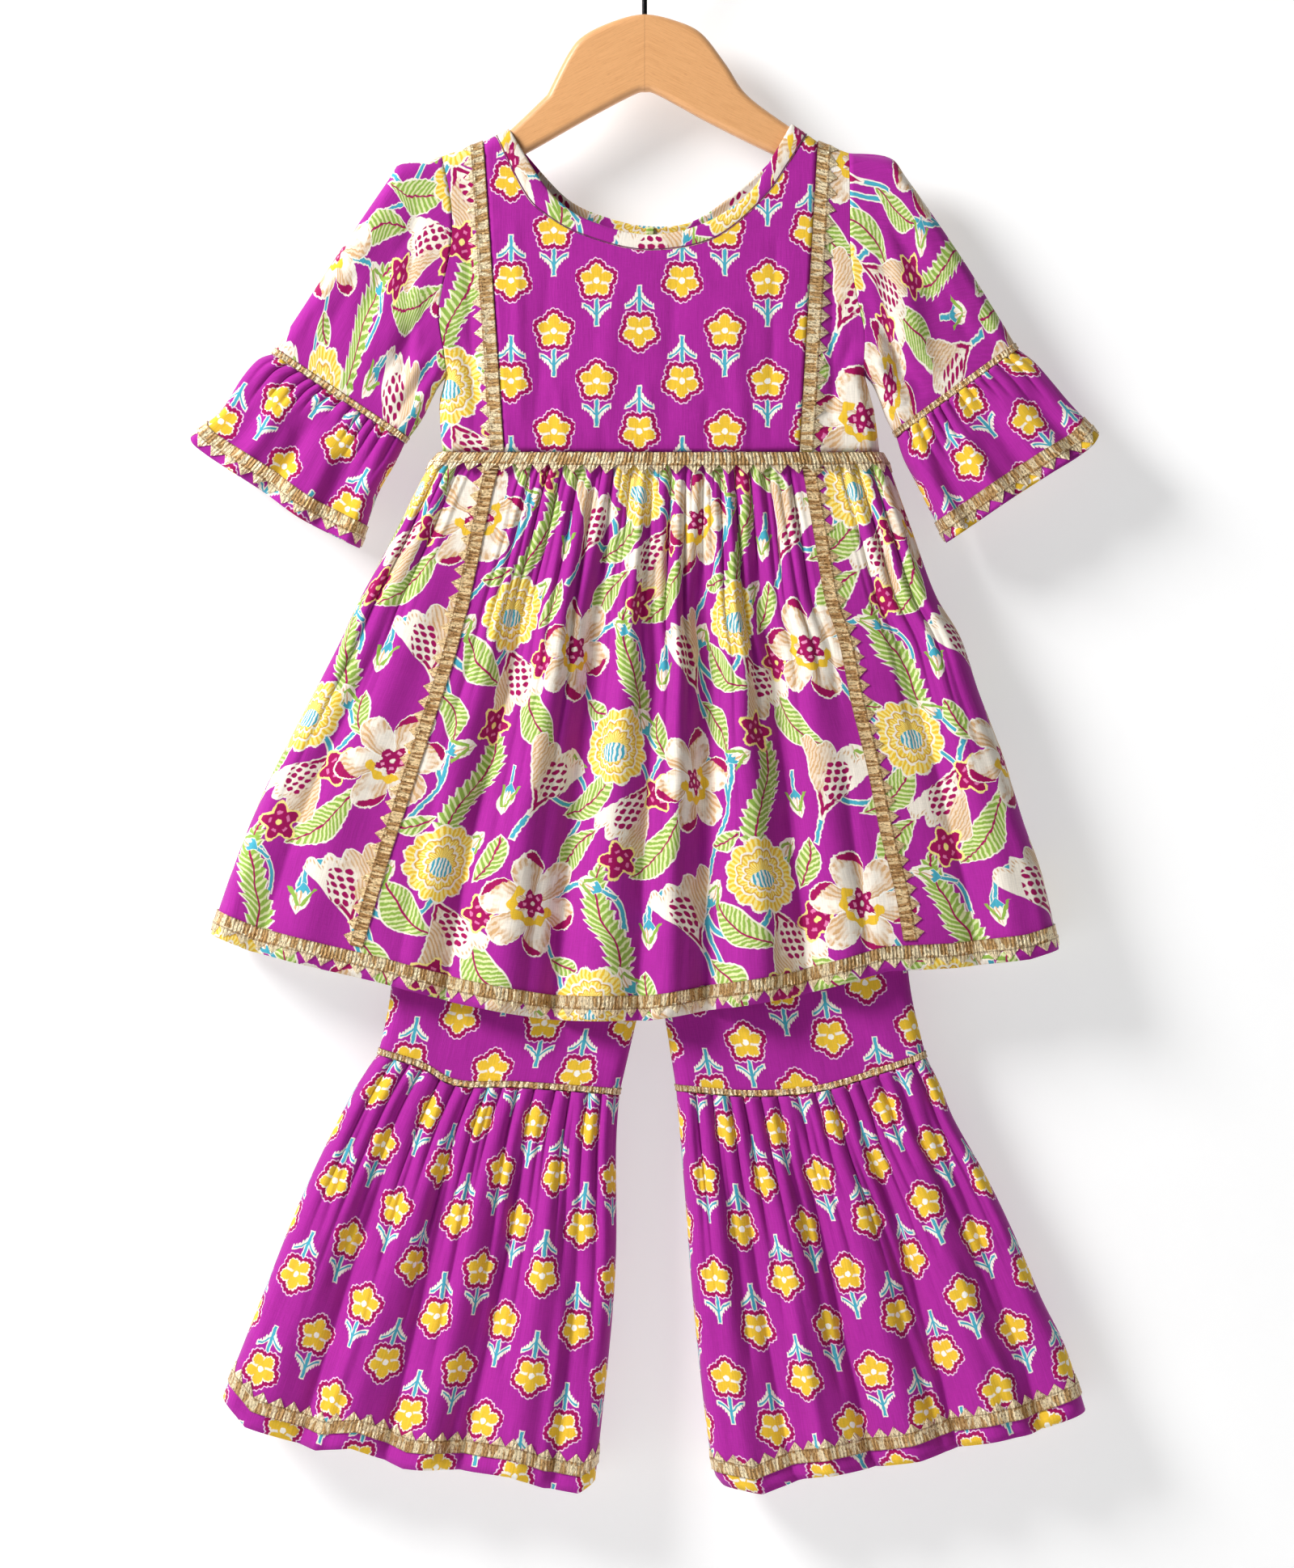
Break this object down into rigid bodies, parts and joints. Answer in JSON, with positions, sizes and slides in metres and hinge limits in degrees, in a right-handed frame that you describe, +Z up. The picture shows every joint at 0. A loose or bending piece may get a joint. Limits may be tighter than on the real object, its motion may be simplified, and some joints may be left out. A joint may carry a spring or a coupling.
{
  "type": "child's gharara suit on a wooden hanger",
  "caption": "Child's gharara suit hung on a wooden hanger: a kurta with a gathered skirt and frilled sleeves over a gharara with gathered flares, trimmed with gold toothed lace.",
  "frame": {"origin": "underside of the hook's crook, where it rests on a rail", "axes": "+Z up along the hanging suit, +X to the viewer's right, the front faces -Y"},
  "size_m": [0.5653, 0.0582, 0.9826],
  "materials": {
    "cotton_floral": "printed cotton, large floral",
    "cotton_sprig": "printed cotton, small flower sprigs",
    "gold_lace": "crinkled metallic gold",
    "gold_ribbon": "metallic gold ribbon",
    "hanger_wood": "pale, clear satin varnish",
    "hook_wire": "black, satin"
  },
  "bodies": {
    "root": {"back_placket": "cotton_floral", "bodice_back_left": "cotton_floral", "bodice_back_right": "cotton_floral", "bodice_front_centre": "cotton_sprig", "bodice_front_left": "cotton_floral", "bodice_front_right": "cotton_floral", "bodice_lace_left": "gold_lace", "bodice_lace_right": "gold_lace", "cuff_ribbon_left": "gold_ribbon", "cuff_ribbon_right": "gold_ribbon", "flare_back_left": "cotton_sprig", "flare_back_right": "cotton_sprig", "flare_front_left": "cotton_sprig", "flare_front_right": "cotton_sprig", "flare_lace_back_left": "gold_lace", "flare_lace_back_right": "gold_lace", "flare_lace_front_left": "gold_lace", "flare_lace_front_right": "gold_lace", "frill_lace_left": "gold_lace", "frill_lace_right": "gold_lace", "gharara_back_left": "cotton_sprig", "gharara_back_right": "cotton_sprig", "gharara_front_left": "cotton_sprig", "gharara_front_right": "cotton_sprig", "gharara_waistband_back": "cotton_sprig", "gharara_waistband_front": "cotton_sprig", "hanger_board": "hanger_wood", "hanger_hook": "hook_wire", "hem_lace_back": "gold_lace", "hem_lace_front": "gold_lace", "knee_ribbon_back_left": "gold_ribbon", "knee_ribbon_back_right": "gold_ribbon", "knee_ribbon_front_left": "gold_ribbon", "knee_ribbon_front_right": "gold_ribbon", "neck_binding_back_left": "cotton_floral", "neck_binding_back_right": "cotton_floral", "neck_binding_front": "cotton_floral", "skirt_back": "cotton_floral", "skirt_front": "cotton_floral", "skirt_lace_left": "gold_lace", "skirt_lace_right": "gold_lace", "sleeve_frill_left": "cotton_sprig", "sleeve_frill_right": "cotton_sprig", "sleeve_left": "cotton_floral", "sleeve_right": "cotton_floral", "waist_lace_back": "gold_lace", "waist_lace_front": "gold_lace"}
  },
  "joints": []
}
